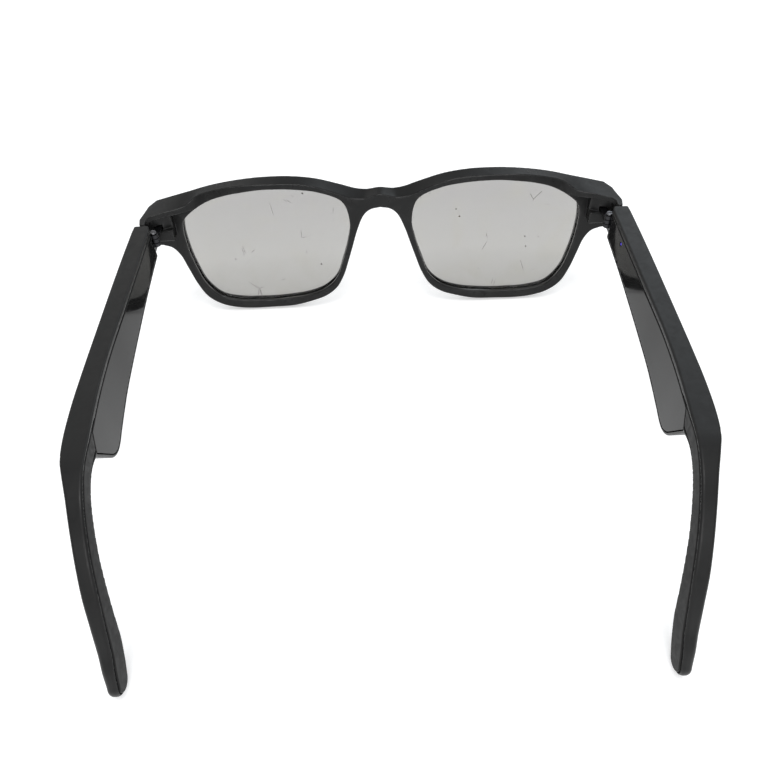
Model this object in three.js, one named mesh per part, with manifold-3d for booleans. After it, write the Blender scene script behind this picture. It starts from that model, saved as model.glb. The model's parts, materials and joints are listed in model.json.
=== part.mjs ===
// Smart glasses with folding temples that carry the electronics.
// Units are millimetres. +X is the wearer's right, +Y is forward, +Z is up.
// The temples' flat tops lie in the plane z = 0 while the parts are made, and the whole
// object is moved at the end so that its origin is the middle of its footprint.
import * as THREE from 'three';
import { mergeVertices } from 'three/addons/utils/BufferGeometryUtils.js';
import Module from 'manifold-3d';

const wasm = await Module();
wasm.setup();

// ---------------------------------------------------------------- driving dimensions
const FRONT_TILT = THREE.MathUtils.degToRad(7.7); // the rims' bottoms lean towards the wearer
const FRONT_DEPTH = 4.4; // front to back, at the brow
const FRONT_DEPTH_LOW = 3.4; // the same at the rims' bottoms
const LENS_THICK = 1.5;
const LENS_DOME = 1.2; // how far the lens bulges forward in its middle
const LENS_SEAT = 1.3; // rear edge of the lens, forward of the rims' rear faces
const LENS_LIP = 0.55; // how far the lens reaches into its groove
const GAP = 0.2; // clearance between neighbouring pieces

const HINGE_X = 69.3; // fold axis, parallel to Z
const HINGE_Y = -10.3;
const BARREL_R = 1.35;
const BARREL_BORE_R = 0.7;
const PIVOT_R = 0.55;
const BARREL_TOP = -2.9;
const BARREL_BOTTOM = -7.1;
const KNUCKLE = 1.27; // height of each of the three knuckles

const TEMPLE_FRONT = -10.0; // y of the temple's front end
const CAVITY_FRONT = -12.2; // y where the hollow behind that end begins
const TEMPLE_REAR = -97; // y where the ear hook begins
const TEMPLE_OUT = 74.4; // x of the flat outer face
const TEMPLE_IN = 69.4; // x of the flat inner face
const SHELL_WALL = 1.1; // outer wall
const SHELL_TOP = 1.4; // top wall
const SHELL_RIM = 1.0; // bottom and front walls
const COVER_THICK = 1.0;
const INLAY_THICK = 1.1; // inlay in the ear hook's inner face

// ---------------------------------------------------------------- materials
const material = (color, roughness, metalness = 0) =>
  new THREE.MeshStandardMaterial({ color, roughness, metalness });
const satinBlack = () => material(0x2b2c2d, 0.5);
const glossBlack = () => material(0x0d0e10, 0.08);
const hookBlack = () => material(0x1a1b1d, 0.3);
const lensTint = () => {
  const glass = material(0xc4c4bf, 0.05);
  glass.transparent = true;
  glass.opacity = 0.4;
  return glass;
};
const steel = () => material(0x9a9ca0, 0.35, 1);
const gold = () => material(0xc9a24a, 0.3, 1);
const boardGreen = () => material(0x1f4a2c, 0.5);
const foil = () => material(0xb4b6b8, 0.4, 1);
const polyimide = () => material(0xa8662a, 0.5);
const darkPlastic = () => material(0x202124, 0.6);
const meshGrey = () => material(0x55585c, 0.5, 1);
const ledBlue = () => material(0x5a50e0, 0.3);

// ---------------------------------------------------------------- solids
const frontUp = new THREE.Vector3(0, Math.sin(FRONT_TILT), Math.cos(FRONT_TILT));
const frontAhead = new THREE.Vector3(0, Math.cos(FRONT_TILT), -Math.sin(FRONT_TILT));

// A closed geometry as a solid that can be cut and joined.
function solid(geometry) {
  const bare = geometry.clone();
  bare.deleteAttribute('normal');
  bare.deleteAttribute('uv');
  const merged = mergeVertices(bare, 1e-5);
  return new wasm.Manifold(new wasm.Mesh({
    numProp: 3,
    vertProperties: new Float32Array(merged.attributes.position.array),
    triVerts: new Uint32Array(merged.index.array),
  }));
}

function geometryOf(shape) {
  const data = shape.getMesh();
  const geometry = new THREE.BufferGeometry();
  const position = new THREE.BufferAttribute(new Float32Array(data.vertProperties), 3);
  geometry.setAttribute('position', position);
  geometry.setIndex(new THREE.BufferAttribute(new Uint32Array(data.triVerts), 1));
  geometry.computeVertexNormals();
  return geometry;
}

// An outline's points, turned anticlockwise (+1) or clockwise (-1).
function wound(outline, turn) {
  const points = outline.map(([a, b]) => new THREE.Vector2(a, b));
  return THREE.ShapeUtils.area(points) * turn > 0 ? points : points.reverse();
}

// An outline extruded between two levels, placed by the matrix whose third axis it follows.
function prism(outline, from, to, axes, holes = []) {
  const shape = new THREE.Shape(wound(outline, 1));
  shape.holes = holes.map((hole) => new THREE.Path(wound(hole, -1)));
  const geometry = new THREE.ExtrudeGeometry(shape, { depth: to - from, bevelEnabled: false });
  geometry.translate(0, 0, from);
  geometry.applyMatrix4(axes);
  return solid(geometry);
}

const X = new THREE.Vector3(1, 0, 0);
const Y = new THREE.Vector3(0, 1, 0);
const Z = new THREE.Vector3(0, 0, 1);
const basis = (a, b, c) => new THREE.Matrix4().makeBasis(a, b, c);

const prismX = (outlineYZ, x0, x1) => prism(outlineYZ, x0, x1, basis(Y, Z, X));
const prismZ = (outlineXY, z0, z1) => prism(outlineXY, z0, z1, basis(X, Y, Z));
// Outline in the front's own plane, between two depths counted forward from its rear face.
const prismFront = (outline, n0, n1, holes) =>
  prism(outline, -n1, -n0, basis(X, frontUp, frontAhead.clone().negate()), holes);

function box(x0, x1, y0, y1, z0, z1) {
  const geometry = new THREE.BoxGeometry(x1 - x0, y1 - y0, z1 - z0);
  geometry.translate((x0 + x1) / 2, (y0 + y1) / 2, (z0 + z1) / 2);
  return solid(geometry);
}

// Cylinder between two levels along Z, or along X.
function post(x, y, z0, z1, radius, sides = 16) {
  const geometry = new THREE.CylinderGeometry(radius, radius, z1 - z0, sides);
  geometry.rotateX(Math.PI / 2);
  geometry.translate(x, y, (z0 + z1) / 2);
  return solid(geometry);
}

function postX(y, z, x0, x1, radius, sides = 10) {
  const geometry = new THREE.CylinderGeometry(radius, radius, x1 - x0, sides);
  geometry.rotateZ(Math.PI / 2);
  geometry.translate((x0 + x1) / 2, y, z);
  return solid(geometry);
}

const joined = (first, ...rest) => rest.reduce((sum, next) => sum.add(next), first);
const cut = (first, ...rest) => rest.reduce((left, next) => left.subtract(next), first);

// A smooth line through points, open or closed.
function smooth(points, count, closed = false) {
  const through = points.map(([a, b]) => new THREE.Vector3(a, b, 0));
  const curve = new THREE.CatmullRomCurve3(through, closed, 'centripetal');
  const samples = curve.getSpacedPoints(count).map((p) => [p.x, p.y]);
  return closed ? samples.slice(0, -1) : samples;
}

// The outline moved outwards by d along its own normals (inwards when d is negative).
function offset(outline, d) {
  const turn = THREE.ShapeUtils.area(outline.map(([a, b]) => new THREE.Vector2(a, b))) > 0 ? 1 : -1;
  return outline.map(([a, b], i) => {
    const before = outline[(i + outline.length - 1) % outline.length];
    const after = outline[(i + 1) % outline.length];
    const inward = new THREE.Vector2(a - before[0], b - before[1]).normalize();
    const outward = new THREE.Vector2(after[0] - a, after[1] - b).normalize();
    const tangent = inward.clone().add(outward).normalize();
    const stretch = d / Math.max(0.5, tangent.dot(outward));
    return [a + turn * tangent.y * stretch, b - turn * tangent.x * stretch];
  });
}

// Closed skin over rings of points, each ring with as many points as the next.
function loft(rings) {
  const count = rings[0].length;
  const points = rings.flat();
  const index = [];
  for (let r = 0; r < rings.length - 1; r += 1) {
    for (let k = 0; k < count; k += 1) {
      const a = r * count + k;
      const b = r * count + ((k + 1) % count);
      index.push(a, b, a + count, b, b + count, a + count);
    }
  }
  const last = (rings.length - 1) * count;
  for (let k = 1; k < count - 1; k += 1) {
    index.push(0, k + 1, k, last, last + k, last + k + 1);
  }
  return closedSkin(points, index);
}

// Indexed skin with its faces turned outwards.
function closedSkin(points, index) {
  let volume = 0;
  for (let i = 0; i < index.length; i += 3) {
    const [a, b, c] = [points[index[i]], points[index[i + 1]], points[index[i + 2]]];
    volume += a.clone().cross(b).dot(c);
  }
  const order = volume < 0 ? index.map((_, i) => index[i - (i % 3) + [0, 2, 1][i % 3]]) : index;
  const geometry = new THREE.BufferGeometry().setFromPoints(points);
  geometry.setIndex(order);
  geometry.computeVertexNormals();
  return geometry;
}

function mirrored(geometry) {
  const p = geometry.attributes.position;
  const points = Array.from({ length: p.count }, (_, i) =>
    new THREE.Vector3(-p.getX(i), p.getY(i), p.getZ(i)));
  return closedSkin(points, Array.from(geometry.index.array));
}

// ---------------------------------------------------------------- outlines
// Right lens opening, in the front's plane: across from the middle, and up.
const LENS_OPENING = smooth([
  [11.8, -1.5], [19, 2.0], [25.9, 3.2], [31.7, 3.6], [37, 3.6], [42.1, 3.1], [47.6, 2.3],
  [53.6, 0.6], [59.4, -2.8], [62.3, -5.6], [63.1, -9.1], [62.8, -16], [61.6, -22.6],
  [59.5, -29.1], [55.3, -34.1], [48.6, -36.0], [42.4, -36.3], [37, -36.3], [31.7, -35.9],
  [26, -35.1], [20, -32.9], [15.6, -28.7], [13.1, -22.4], [11.1, -16], [9.9, -8.7],
], 56, true);
const LENS_MIDDLE = [37, -16.3];

// Right half of the front's outer outline, from the middle of the bridge round to below it.
const BROW = smooth([
  [0, 0.9], [5, 0.7], [9.5, 1.4], [14, 3.0], [20, 4.9], [28, 6.0], [36, 6.2],
  [44, 5.7], [52, 4.6], [60, 2.9], [68, 0.9],
], 26);
const END_PIECE = [[73.8, -0.8], [73.8, -12.4], [73.0, -13.4]];
const UNDER_RIM = smooth([
  [70.5, -13.7], [67.8, -14.8], [65.8, -17.6], [64.2, -22.6], [62.2, -28.5], [59.6, -33.6],
  [55.6, -36.9], [51, -38.6], [45.5, -39.4], [38, -39.4], [31, -38.9], [25, -37.5],
  [19.6, -35.5], [15.8, -32.4], [13.1, -27.6], [11.2, -22.2], [9.4, -16.6], [7.6, -11],
  [5.4, -6.2], [3.2, -4.3], [0, -3.6],
], 44);
const HALF_FRONT = [...BROW, ...END_PIECE, ...UNDER_RIM];
const FRONT_OUTLINE = [
  ...HALF_FRONT,
  ...HALF_FRONT.slice(1, -1).reverse().map(([x, w]) => [-x, w]),
];

// Temple seen from the side (y, z): flat top, belly that deepens backwards, slanted step.
const TEMPLE_SIDE = [
  [TEMPLE_FRONT, 0], [TEMPLE_REAR, 0], [TEMPLE_REAR, -5.4], [-93.4, -5.6], [-91.0, -7.0],
  [-84.0, -15.4], [-82.0, -17.2], [-79.4, -18.1], [-76.4, -18.0], [-70, -17.1], [-60, -15.3],
  [-50, -13.8], [-40, -12.5], [-30, -11.3], [-20, -10.5], [-13.8, -10.2], [-11.6, -9.6],
  [TEMPLE_FRONT, -7.8],
];
// The same, inside its walls. The inner cover fills this outline.
const CAVITY_SIDE = [
  [CAVITY_FRONT, -SHELL_TOP], [-87.6, -SHELL_TOP], [-90.4, -5.5], [-89.3, -7.0], [-82.9, -14.8],
  [-81.2, -16.3], [-79.0, -17.1], [-76.6, -17.0], [-70, -16.1], [-60, -14.3], [-50, -12.8],
  [-40, -11.5], [-30, -10.3], [-20, -9.5], [-14.2, -9.2], [-12.6, -9.0], [CAVITY_FRONT, -8.6],
];
// Temple seen from above (x, y): outer face, then inner face, which bends in towards the ear.
const OUTER_LINE = [
  [73.7, TEMPLE_FRONT], [TEMPLE_OUT, -14], [TEMPLE_OUT, -74], [74.1, -82], [73.5, -89], [73.0, -93],
  [72.0, TEMPLE_REAR],
];
const INNER_LINE = [
  [66.8, TEMPLE_REAR], [67.3, -92], [68.1, -84], [68.9, -75], [TEMPLE_IN, -64],
  [TEMPLE_IN, CAVITY_FRONT], [70.0, TEMPLE_FRONT],
];

// Ear hook: stations along its middle line, from inside the temple to the tip.
const HOOK = [
  { y: -94, z: -2.75, inner: 67.1, outer: 72.8, height: 5.5 },
  { y: -97, z: -2.78, inner: 66.8, outer: 71.9, height: 5.45 },
  { y: -100, z: -3.1, inner: 66.3, outer: 70.9, height: 5.4 },
  { y: -105, z: -4.6, inner: 65.4, outer: 69.3, height: 5.3 },
  { y: -110, z: -7.6, inner: 64.5, outer: 68.2, height: 5.2 },
  { y: -115, z: -11.9, inner: 63.6, outer: 67.2, height: 5.3 },
  { y: -119.5, z: -17, inner: 62.7, outer: 66.4, height: 5.5 },
  { y: -123.5, z: -22.8, inner: 62.0, outer: 65.5, height: 5.9 },
  { y: -127, z: -28.8, inner: 61.5, outer: 64.8, height: 6.6 },
  { y: -130.4, z: -33.6, inner: 61.3, outer: 64.3, height: 6.8 },
  { y: -132.7, z: -36.8, inner: 61.3, outer: 63.9, height: 5.6 },
  { y: -134.0, z: -38.6, inner: 61.6, outer: 63.6, height: 2.8 },
];
// The inlay in its inner face follows the same line, from the inner cover to short of the tip.
const INLAY_EDGE = 0.8; // how much of the hook's inner face shows above and below it
const INLAY_FRONT = [
  { y: -86.5, z: -3.35, inner: 67.85, height: 5.5 },
  { y: -92, z: -3.05, inner: 67.3, height: 5.5 },
];
const INLAY_END = { y: -132.2, z: -36.1, inner: 61.3, height: 5.9 };
const RECESS_END = { ...INLAY_END, y: -132.34, z: -36.31 };
const inlayLine = (end) => [...INLAY_FRONT, ...HOOK.slice(1, 10), end];

// Sections square to the hook's middle line. corners(station) gives (x, height) pairs.
function alongHook(stations, corners) {
  const rings = stations.map((here, i) => {
    const before = stations[Math.max(i - 1, 0)];
    const after = stations[Math.min(i + 1, stations.length - 1)];
    const along = new THREE.Vector3(0, after.y - before.y, after.z - before.z).normalize();
    const up = new THREE.Vector3(0, along.z, -along.y);
    return corners(here).map(([x, s]) =>
      new THREE.Vector3(x, here.y, here.z).addScaledVector(up, s));
  });
  return solid(loft(rings));
}

// The whole hook, with chamfered edges.
function wholeHook() {
  return alongHook(HOOK, (here) => {
    const [x0, x1] = [here.inner, here.outer];
    const half = here.height / 2;
    const c = Math.min(0.6, (x1 - x0) * 0.3);
    return [
      [x0, half - c], [x0 + c, half], [x1 - c, half], [x1, half - c],
      [x1, c - half], [x1 - c, -half], [x0 + c, -half], [x0, c - half],
    ];
  });
}

// The hook between two distances from its inner face, made taller by grow on each side, with
// square edges.
function squareSlice(from, to, grow, stations) {
  return alongHook(stations, (here) => {
    const half = here.height / 2 + grow;
    const [x0, x1] = [here.inner + from, here.inner + to];
    return [[x0, half], [x1, half], [x1, -half], [x0, -half]];
  });
}

// Strip of one height that follows the hook's middle line.
const hookStrip = (from, to, height, stations) =>
  squareSlice(from, to, height / 2, stations.map((here) => ({ ...here, height: 0 })));

const wireChannel = () => hookStrip(0.9, 2.1, 2.4, HOOK.slice(0, 9));

// ---------------------------------------------------------------- front
const ROOF_TOP = 0.1;
const ROOF_UNDER = -1.7;
const END_REAR = -9.7; // rearmost edge of the end piece's side wall
const BLOCK_REAR = -5; // rear face of the hinge block
const BLOCK_TOP = -5.9;
// Plan (x, y) of the overhanging roof and of the side wall under it.
const ROOF_PLAN = [
  [58, 1], [58, -0.6], [61, -1.6], [66.2, -3.6], [70.4, -5.6], [71.6, -7.2], [71.6, END_REAR],
  [72.8, END_REAR], [73.4, -6.6], [72.4, 1.2], [70, 4],
];
// Plan of the filling between the roof and the hinge block, set in from the roof's rear edge.
const FILL_PLAN = [
  [65.2, 0.5], [65.2, -2.8], [66.3, -3.2], [70.5, -5.2], [71.0, -5.6], [71.8, -5.6], [71.8, 0.5],
];
const WALL_PLAN = [[71.6, 1], [71.6, END_REAR], [72.8, END_REAR], [73.4, -6.6], [72.4, 1.2]];
// What the front plate keeps in plan: its outer corners are cut off at a slant.
const PLATE_PLAN = [
  [-70.3, 12], [-70.3, 4.2], [-72.4, 1.2], [-73, -9], [73, -9], [72.4, 1.2], [70.3, 4.2], [70.3, 12],
];
const FRAME_LEAF = { x0: 68.3, x1: 70.3, tail: 0.9 };
const FRAME_KNUCKLE = [BARREL_BOTTOM + KNUCKLE + GAP, BARREL_TOP - KNUCKLE - GAP];

// A point up in the front's plane and forward of its rear face, as (y, z).
const inPlane = (w, n) => [
  w * frontUp.y + n * frontAhead.y, w * frontUp.z + n * frontAhead.z,
];
// What is cut off the front face so that the rims get thinner downwards, between two heights.
const [TAPER_TOP, TAPER_FOOT, WELL_AHEAD] = [-4, -44, 9];
const TAPER = [
  inPlane(TAPER_TOP, FRONT_DEPTH), inPlane(TAPER_TOP, WELL_AHEAD),
  inPlane(TAPER_FOOT, WELL_AHEAD), inPlane(TAPER_FOOT, FRONT_DEPTH_LOW),
];

function frontFrame() {
  const flip = (outline) => outline.map(([a, b]) => [-a, b]);
  const openings = [LENS_OPENING, flip(LENS_OPENING)];
  let frame = prismFront(FRONT_OUTLINE, 0, FRONT_DEPTH, openings)
    .intersect(prismZ(PLATE_PLAN, -60, 30));
  const groove = offset(LENS_OPENING, LENS_LIP + GAP);
  for (const side of [1, -1]) {
    const turned = side > 0 ? (outline) => outline : flip;
    const [k0, k1] = FRAME_KNUCKLE;
    const [bx0, bx1] = [65.2 * side, 71.8 * side].sort((a, b) => a - b);
    const [lx0, lx1] = [(FRAME_LEAF.x0 - GAP) * side, (FRAME_LEAF.x1 + GAP) * side].sort((a, b) => a - b);
    frame = joined(
      frame,
      prismZ(turned(ROOF_PLAN), ROOF_UNDER, ROOF_TOP),
      prismZ(turned(WALL_PLAN), -12.2, ROOF_UNDER + 0.2),
      box(bx0, bx1, BLOCK_REAR, 0.5, -9.8, BLOCK_TOP),
      prismZ(turned(FILL_PLAN), BLOCK_TOP - 0.2, ROOF_UNDER + 0.2),
    );
    frame = cut(
      frame,
      prismFront(turned(groove), LENS_SEAT - GAP, LENS_SEAT + LENS_THICK + GAP),
      box(lx0, lx1, BLOCK_REAR - 1, FRAME_LEAF.tail + GAP, k0 - GAP, k1 + GAP),
    );
  }
  return geometryOf(cut(frame, prismX(TAPER, -80, 80)));
}

// A lens is a thin shell that bulges forward, with its rim flat in the groove.
function lens() {
  const rim = offset(LENS_OPENING, LENS_LIP);
  const scales = [1, 0.75, 0.4];
  const points = [];
  const index = [];
  const place = (x, w, n) => new THREE.Vector3(x, 0, 0)
    .addScaledVector(frontUp, w).addScaledVector(frontAhead, n);
  const faces = [LENS_SEAT, LENS_SEAT + LENS_THICK];
  const count = rim.length;
  for (const depth of faces) {
    for (const s of scales) {
      const bulge = LENS_DOME * (1 - s * s);
      for (const [x, w] of rim) {
        const [cx, cw] = LENS_MIDDLE;
        points.push(place(cx + (x - cx) * s, cw + (w - cw) * s, depth + bulge));
      }
    }
    points.push(place(LENS_MIDDLE[0], LENS_MIDDLE[1], depth + LENS_DOME));
  }
  const perFace = count * scales.length + 1;
  faces.forEach((_, f) => {
    const base = f * perFace;
    const put = (a, b, c) => index.push(...(f ? [a, b, c] : [a, c, b]));
    for (let k = 0; k < count; k += 1) {
      const next = (k + 1) % count;
      for (let r = 0; r < scales.length - 1; r += 1) {
        const a = base + r * count + k;
        const b = base + r * count + next;
        put(a, b, a + count);
        put(b, b + count, a + count);
      }
      const inner = base + (scales.length - 1) * count;
      put(inner + k, inner + next, base + perFace - 1);
    }
  });
  for (let k = 0; k < count; k += 1) {
    const next = (k + 1) % count;
    index.push(k, next, perFace + k, next, perFace + next, perFace + k);
  }
  return closedSkin(points, index);
}

// Steel leaf cast into the end piece, with the middle knuckle.
function frameHinge() {
  const [k0, k1] = FRAME_KNUCKLE;
  const arm = box(FRAME_LEAF.x0, FRAME_LEAF.x1, HINGE_Y, FRAME_LEAF.tail, k0, k1);
  const knuckle = post(HINGE_X, HINGE_Y, k0, k1, BARREL_R);
  return geometryOf(cut(joined(arm, knuckle), post(HINGE_X, HINGE_Y, k0 - 1, k1 + 1, BARREL_BORE_R)));
}

function hingeScrew() {
  const headUnder = BARREL_TOP + 0.1;
  const profile = [
    [0, BARREL_BOTTOM - 0.1], [PIVOT_R, BARREL_BOTTOM - 0.1], [PIVOT_R, headUnder],
    [1.0, headUnder], [1.0, headUnder + 0.4], [0.8, headUnder + 0.6], [0, headUnder + 0.6],
  ];
  const geometry = new THREE.LatheGeometry(profile.map(([r, h]) => new THREE.Vector2(r, h)), 20);
  geometry.rotateX(Math.PI / 2);
  geometry.translate(HINGE_X, HINGE_Y, 0);
  return geometryOf(solid(geometry));
}

// ---------------------------------------------------------------- temple, right side
const LEAF = { x0: 71.1, x1: 71.9, front: -13.0, rear: -21.7 };
const LEAF_SCREWS = [-16.0, -19.8];
const LEAF_SCREW_Z = -5;
const CONTACTS = [-43, -47.5];
const CONTACT_X = 71.75;
const MIC_Y = -30;
const PORT = { y0: -77.6, y1: -73.4, x0: 70.6, x1: 72.4 };
const STATUS_LED = { y: -23.8, z: -3.8, r: 0.6 };

function templeEnvelope() {
  const body = prismX(TEMPLE_SIDE, 60, 80).intersect(prismZ([...OUTER_LINE, ...INNER_LINE], -30, 10));
  return body.add(wholeHook());
}

function cavity() {
  const plan = [
    [TEMPLE_OUT - SHELL_WALL, CAVITY_FRONT], [TEMPLE_OUT - SHELL_WALL, -76], [72.9, -82.5],
    [72.3, -88.6], [72.0, -92], [60, -92], [60, CAVITY_FRONT],
  ];
  return prismX(CAVITY_SIDE, 60, 80).intersect(prismZ(plan, -30, 10));
}

function hingeRelief() {
  return joined(
    post(HINGE_X, HINGE_Y, -12, BARREL_TOP + 1.1, BARREL_R + 0.45),
    box(69, 72.2, HINGE_Y - 2.3, HINGE_Y + 0.4, BARREL_BOTTOM - GAP, BARREL_TOP + GAP),
  );
}

function templeShell() {
  const bosses = LEAF_SCREWS.map((y) => postX(y, LEAF_SCREW_Z, LEAF.x1 + GAP, 73.4, 1.2));
  const screwHoles = LEAF_SCREWS.map((y) => postX(y, LEAF_SCREW_Z, LEAF.x1, 73.3, 0.75));
  const contactHoles = CONTACTS.map((y) => post(CONTACT_X, y, -16, -10.5, 1.05, 10));
  const hollow = cut(templeEnvelope(), cavity(), hingeRelief(), hookRecess());
  return geometryOf(cut(
    joined(hollow, ...bosses),
    ...screwHoles,
    ...contactHoles,
    wireChannel(),
    post(CONTACT_X, MIC_Y, -16, -9, 0.5, 8),
    box(PORT.x0, PORT.x1, PORT.y0, PORT.y1, -19, -15.5),
  ));
}

// Room in the shell for the hook's inlay. It opens into the hollow behind the cover.
const hookRecess = () =>
  squareSlice(-1, INLAY_THICK + GAP, GAP - INLAY_EDGE, inlayLine(RECESS_END));

function coverBand(from, to) {
  const line = INNER_LINE.slice(0, -1);
  const inner = [...line, [TEMPLE_IN, -11]];
  const plan = [
    ...inner.map(([x, y]) => [x + from, y]),
    ...inner.reverse().map(([x, y]) => [x + to, y]),
  ];
  return prismZ(plan, -30, 10);
}

function templeCover(withLight) {
  const plate = prismX(offset(CAVITY_SIDE, -GAP), 60, 80).intersect(coverBand(0, COVER_THICK));
  const { y, z, r } = STATUS_LED;
  return geometryOf(withLight ? plate.subtract(postX(y, z, 60, 80, r + GAP)) : plate);
}

function statusLed() {
  const { y, z, r } = STATUS_LED;
  return geometryOf(postX(y, z, TEMPLE_IN + 0.05, 71.6, r));
}

// The inlay begins where the inner cover ends, with the same gap as round the cover.
function hookInlay() {
  const body = squareSlice(0, INLAY_THICK, -INLAY_EDGE, inlayLine(INLAY_END));
  return geometryOf(cut(body, prismX(CAVITY_SIDE, 60, 80), wireChannel()));
}

const hookCore = () => geometryOf(hookStrip(1.1, 1.9, 1.9, HOOK.slice(0, 8)));

// Steel leaf inside the temple, with the upper and lower knuckles.
function templeHinge() {
  const arm = [
    [HINGE_X, HINGE_Y - 1.2], [HINGE_X + 1.1, HINGE_Y + 0.2], [LEAF.x1, LEAF.front + 0.6],
    [LEAF.x1, LEAF.front - 1], [LEAF.x0, LEAF.front - 1], [LEAF.x0 - 0.2, LEAF.front + 0.9],
  ];
  const plate = box(LEAF.x0, LEAF.x1, LEAF.rear, LEAF.front, BARREL_BOTTOM, BARREL_TOP);
  const knuckles = [[BARREL_BOTTOM, BARREL_BOTTOM + KNUCKLE], [BARREL_TOP - KNUCKLE, BARREL_TOP]];
  const parts = knuckles.flatMap(([z0, z1]) => [
    prismZ(arm, z0, z1), post(HINGE_X, HINGE_Y, z0, z1, BARREL_R),
  ]);
  return geometryOf(cut(
    joined(plate, ...parts),
    post(HINGE_X, HINGE_Y, -14, 0, BARREL_BORE_R),
    ...LEAF_SCREWS.map((y) => postX(y, LEAF_SCREW_Z, 70, 74, 0.75)),
  ));
}

function leafScrew(y) {
  const head = postX(y, LEAF_SCREW_Z, LEAF.x0 - 0.45, LEAF.x0 - 0.05, 1.05);
  return geometryOf(head.add(postX(y, LEAF_SCREW_Z, LEAF.x0 - 0.2, 73.1, 0.55)));
}

const plain = (...sizes) => geometryOf(box(...sizes));

function chargingContact(y, underside) {
  const pin = post(CONTACT_X, y, underside, underside + 2.6, 0.85, 10);
  return geometryOf(pin.add(post(CONTACT_X, y, underside + 1.5, underside + 2.0, 1.15, 10)));
}

function speakerDriver() {
  const basket = box(70.3, 72.5, -83.6, -78.2, -13.0, -3.6);
  return geometryOf(basket.add(postX(-80.9, -8.3, 69.9, 70.6, 2.2, 20)));
}

const TEMPLE_PIECES = {
  temple_shell: [templeShell(), satinBlack],
  ear_hook_inlay: [hookInlay(), hookBlack],
  ear_hook_core: [hookCore(), steel],
  temple_hinge_leaf: [templeHinge(), steel],
  hinge_leaf_screw_front: [leafScrew(LEAF_SCREWS[0]), steel],
  hinge_leaf_screw_rear: [leafScrew(LEAF_SCREWS[1]), steel],
  touch_sensor: [plain(72.6, 72.85, -50, -28.5, -9.2, -2.6), polyimide],
  main_board: [plain(71.75, 72.35, -50, -22.8, -9.3, -2.4), boardGreen],
  radio_shield: [plain(70.8, 71.6, -42, -33.4, -8.6, -3.2), foil],
  microphone: [plain(70.8, 71.6, -31.4, -28.6, -9.3, -7.2), foil],
  antenna: [plain(70.9, 72.4, -48, -27.4, -1.95, -1.7), polyimide],
  battery_cell: [plain(70.75, 72.75, -76.4, -51.6, -12.4, -2.2), foil],
  speaker_driver: [speakerDriver(), darkPlastic],
  speaker_mesh: [plain(70.8, 72.2, -77.4, -73.6, -17.0, -16.5), meshGrey],
  charging_contact_front: [chargingContact(CONTACTS[0], -12.8), gold],
  charging_contact_rear: [chargingContact(CONTACTS[1], -13.4), gold],
};

// ---------------------------------------------------------------- assembly
const object = new THREE.Group();

function add(parent, name, geometry, paint) {
  const mesh = new THREE.Mesh(geometry, paint());
  mesh.name = name;
  parent.add(mesh);
}

const front = new THREE.Group();
object.add(front);
add(front, 'front_frame', frontFrame(), satinBlack);
const FRONT_PIECES = {
  lens: [lens(), lensTint],
  frame_hinge_leaf: [frameHinge(), steel],
  hinge_screw: [hingeScrew(), steel],
};

for (const side of ['right', 'left']) {
  const sided = (geometry) => (side === 'right' ? geometry : mirrored(geometry));
  for (const [name, [geometry, paint]] of Object.entries(FRONT_PIECES)) {
    add(front, `${name}_${side}`, sided(geometry), paint);
  }
  const temple = new THREE.Group();
  object.add(temple);
  const lit = side === 'right';
  add(temple, `temple_inner_cover_${side}`, sided(templeCover(lit)), glossBlack);
  if (lit) add(temple, 'status_led_right', statusLed(), ledBlue);
  for (const [name, [geometry, paint]] of Object.entries(TEMPLE_PIECES)) {
    add(temple, `${name}_${side}`, sided(geometry), paint);
  }
}

const bounds = new THREE.Box3().setFromObject(object);
const centre = bounds.getCenter(new THREE.Vector3());
object.position.set(-centre.x, -centre.y, -bounds.min.z);

export default object;
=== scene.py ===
"""Looks of the smart glasses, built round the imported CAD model.

Sizes are in millimetres in the design's own axes: +X is the wearer's right, +Y forward, +Z up. Height 0
is the plane of the temples' flat tops, and depth 0 is the plane of the rims' rear faces at that height.
Each moulded piece is a field, a signed distance that is negative inside, and a Skin meshes it.
"""
import json
import math

import bpy
import numpy as np
from mathutils import Matrix, Vector


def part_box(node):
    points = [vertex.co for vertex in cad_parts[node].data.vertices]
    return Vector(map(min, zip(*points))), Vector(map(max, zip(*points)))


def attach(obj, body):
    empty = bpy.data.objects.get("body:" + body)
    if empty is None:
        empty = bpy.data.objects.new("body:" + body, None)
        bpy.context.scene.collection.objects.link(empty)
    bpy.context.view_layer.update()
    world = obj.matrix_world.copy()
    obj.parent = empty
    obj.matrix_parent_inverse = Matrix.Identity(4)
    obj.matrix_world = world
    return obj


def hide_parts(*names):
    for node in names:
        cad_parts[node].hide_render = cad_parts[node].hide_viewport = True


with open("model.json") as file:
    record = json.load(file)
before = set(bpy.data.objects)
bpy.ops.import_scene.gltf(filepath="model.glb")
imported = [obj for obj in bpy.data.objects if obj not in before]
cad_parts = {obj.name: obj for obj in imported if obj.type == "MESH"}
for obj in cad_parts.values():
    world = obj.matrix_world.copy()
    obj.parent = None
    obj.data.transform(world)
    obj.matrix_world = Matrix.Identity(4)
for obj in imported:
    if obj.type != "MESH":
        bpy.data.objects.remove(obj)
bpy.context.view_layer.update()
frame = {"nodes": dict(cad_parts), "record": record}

# ---------------------------------------------------------------- driving dimensions
MM = 0.001
GRID = 0.26  # spacing of the points on a moulded surface
GAP = 0.2

TILT = math.radians(7.7)
DEPTH = 4.4  # front to back, at the brow
DEPTH_LOW = 3.4  # the same at the rims' bottoms
TAPER_TOP = -4  # height in the front's plane where it begins to get thinner
TAPER_RUN = 36  # how far down it goes on getting thinner
RIM_EDGE = 0.55  # rounding of the front's outer edges
OPENING_EDGE = 0.4  # rounding of the lens openings' edges
LENS_SEAT = 1.3
LENS_THICK = 1.5
LENS_DOME = 1.2
LENS_LIP = 0.55
LENS_MIDDLE = (37.0, -16.3)
LENS_HALF = (27.2, 20.8)

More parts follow.
